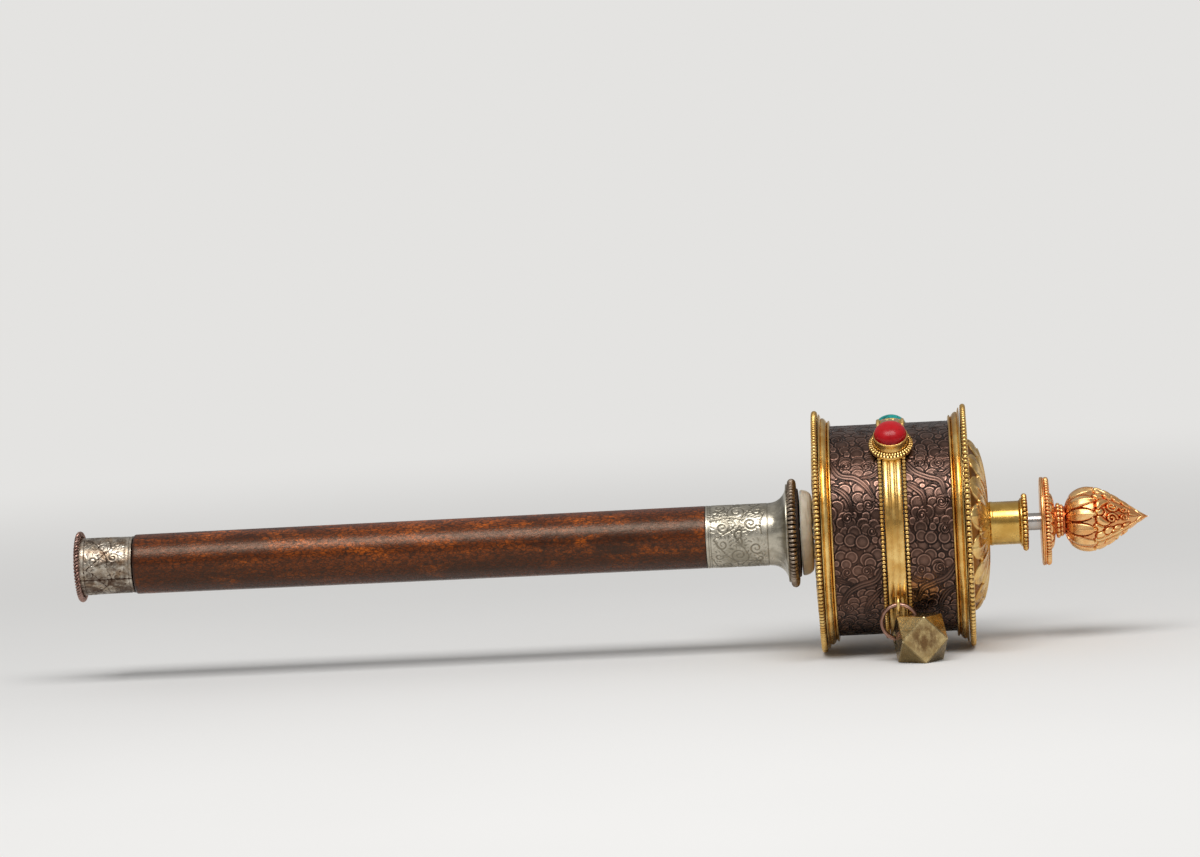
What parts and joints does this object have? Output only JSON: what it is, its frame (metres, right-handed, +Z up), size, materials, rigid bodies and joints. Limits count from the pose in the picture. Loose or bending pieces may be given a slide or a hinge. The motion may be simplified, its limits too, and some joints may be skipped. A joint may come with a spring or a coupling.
{
  "type": "hand-held prayer wheel",
  "caption": "Hand-held prayer wheel: an engraved copper drum with beaded gilt rims and set stones turns on a handled axle, with a faceted weight on a ring and a lotus-bud finial.",
  "frame": {"origin": "on the table under the middle of the object's length, where it lies on its drum rims", "axes": "+X along the axle towards the finial, -Y towards the viewer of the picture, +Z up"},
  "size_m": [0.2986, 0.0709, 0.0672],
  "materials": {
    "wood": "satin",
    "silvered_copper": "satin",
    "copper_wire": "satin",
    "white_metal": "satin",
    "dark_steel": "satin",
    "dark_leather": "matte",
    "steel": "polished",
    "copper_gilt": "satin",
    "conch": "satin",
    "gilt": "satin",
    "dark_copper": "satin",
    "brass": "polished",
    "paper": "matte",
    "coral": "polished",
    "turquoise": "polished",
    "aged_brass": "satin"
  },
  "bodies": {
    "handle": {"grip": "wood", "end_cap": "silvered_copper", "end_cap_disc": "silvered_copper", "end_cap_rope_ring": "copper_wire", "ferrule": "white_metal", "ferrule_bead_ring": "dark_steel", "bearing_washer": "dark_leather", "axle": "steel", "finial_disc": "copper_gilt", "finial_disc_beads": "copper_gilt", "finial_collar": "copper_gilt", "finial_bud": "copper_gilt"},
    "bearing": {"bearing_ring": "conch"},
    "drum": {"lower_cap": "gilt", "lower_rim": "gilt", "lower_rim_beads": "gilt", "drum_shell": "dark_copper", "center_band": "gilt", "band_beads_lower": "gilt", "band_beads_upper": "gilt", "upper_rim": "gilt", "upper_rim_beads": "gilt", "upper_cap": "gilt", "neck_tube": "brass", "neck_bead_ring": "gilt", "upper_bush": "brass", "lower_bush": "brass", "core_tube": "brass", "scroll": "paper", "setting_coral_front": "gilt", "setting_beads_coral_front": "gilt", "stone_coral_front": "coral", "setting_turquoise": "gilt", "setting_beads_turquoise": "gilt", "stone_turquoise": "turquoise", "setting_coral_back": "gilt", "setting_beads_coral_back": "gilt", "stone_coral_back": "coral", "weight_lug": "gilt"},
    "weight_ring": {"split_ring": "copper_wire"},
    "swing_weight": {"weight": "aged_brass"}
  },
  "joints": [
    {"name": "drum_spin", "type": "hinge", "parent": "handle", "child": "drum", "pos_m": [0.0794, 0, 0.03359], "axis": [1, 0, 0], "continuous": true},
    {"name": "bearing_ring_turn", "type": "hinge", "parent": "handle", "child": "bearing", "pos_m": [0.055, 0, 0.03359], "axis": [1, 0, 0], "continuous": true},
    {"name": "ring_swing", "type": "hinge", "parent": "drum", "child": "weight_ring", "pos_m": [0.0794, -0.02785, 0.01551], "axis": [-1, 0, 0], "range_deg": [-4, 110]},
    {"name": "weight_slide", "type": "hinge", "parent": "weight_ring", "child": "swing_weight", "pos_m": [0.0794, -0.02785, 0.01081], "axis": [0, 1, 0], "range_deg": [-5, 95]}
  ]
}
